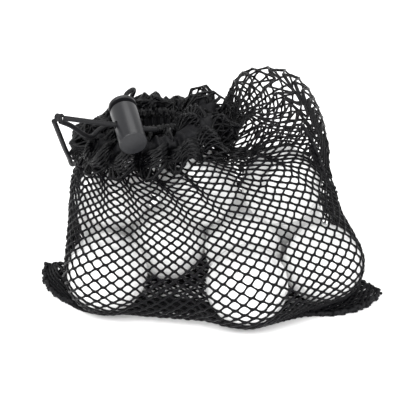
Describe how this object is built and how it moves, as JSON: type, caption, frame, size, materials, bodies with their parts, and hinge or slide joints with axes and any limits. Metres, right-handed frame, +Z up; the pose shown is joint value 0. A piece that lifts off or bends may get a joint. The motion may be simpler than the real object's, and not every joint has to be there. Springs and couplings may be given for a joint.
{
  "type": "mesh ball bag",
  "caption": "Drawstring net bag full of golf balls, its mouth gathered on a braided cord and held shut by a sprung barrel cord lock.",
  "frame": {"origin": "centre of the footprint of the bag, on the table it rests on", "axes": "+X to the right along the long way of the bag, +Y to the back, +Z up"},
  "size_m": [0.193, 0.1357, 0.117],
  "materials": {
    "ball_back_left": "glossy white",
    "ball_back_middle": "glossy white",
    "ball_back_right": "glossy white",
    "ball_front_centre": "glossy white",
    "ball_front_left": "glossy white",
    "ball_front_middle": "glossy white",
    "ball_front_right": "glossy white",
    "ball_inner": "glossy white",
    "ball_upper_back": "glossy white",
    "ball_upper_left": "glossy white",
    "ball_upper_middle": "glossy white",
    "ball_upper_right": "glossy white",
    "corner_left": "open knitted net",
    "corner_right": "open knitted net",
    "drawcord": "braided polyester cord",
    "drawcord_knot": "braided polyester cord",
    "drawcord_pull": "braided polyester cord",
    "gather_back": "open knitted net",
    "gather_front": "open knitted net",
    "gather_left": "open knitted net",
    "gather_right": "open knitted net",
    "lock_barrel": "satin black",
    "lock_plunger": "satin black",
    "lock_spring": "bright wire",
    "mouth_hem": "overlocked thread",
    "net_back": "open knitted net",
    "net_base": "open knitted net",
    "net_crown": "open knitted net",
    "net_front": "open knitted net",
    "seam_bottom": "overlocked thread",
    "seam_left": "overlocked thread",
    "seam_right": "overlocked thread"
  },
  "bodies": {
    "bag": {"ball_back_left": "ball_back_left", "ball_back_middle": "ball_back_middle", "ball_back_right": "ball_back_right", "ball_front_centre": "ball_front_centre", "ball_front_left": "ball_front_left", "ball_front_middle": "ball_front_middle", "ball_front_right": "ball_front_right", "ball_inner": "ball_inner", "ball_upper_back": "ball_upper_back", "ball_upper_left": "ball_upper_left", "ball_upper_middle": "ball_upper_middle", "ball_upper_right": "ball_upper_right", "corner_left": "corner_left", "corner_right": "corner_right", "drawcord": "drawcord", "drawcord_knot": "drawcord_knot", "drawcord_pull": "drawcord_pull", "gather_back": "gather_back", "gather_front": "gather_front", "gather_left": "gather_left", "gather_right": "gather_right", "mouth_hem": "mouth_hem", "net_back": "net_back", "net_base": "net_base", "net_crown": "net_crown", "net_front": "net_front", "seam_bottom": "seam_bottom", "seam_left": "seam_left", "seam_right": "seam_right"},
    "lock": {"lock_barrel": "lock_barrel", "lock_spring": "lock_spring"},
    "plunger": {"lock_plunger": "lock_plunger"}
  },
  "joints": [
    {"name": "lock_slide", "type": "slide", "parent": "bag", "child": "lock", "axis": [-0.8985, -0.3502, 0.2647], "range_m": [0, 0.01]},
    {"name": "plunger_press", "type": "slide", "parent": "lock", "child": "plunger", "axis": [0.2469, -0.9017, -0.3549], "range_m": [0, 0.0024], "stiffness_N_per_m": 800, "springref_m": -0.004, "deforming": ["lock_spring"]}
  ]
}
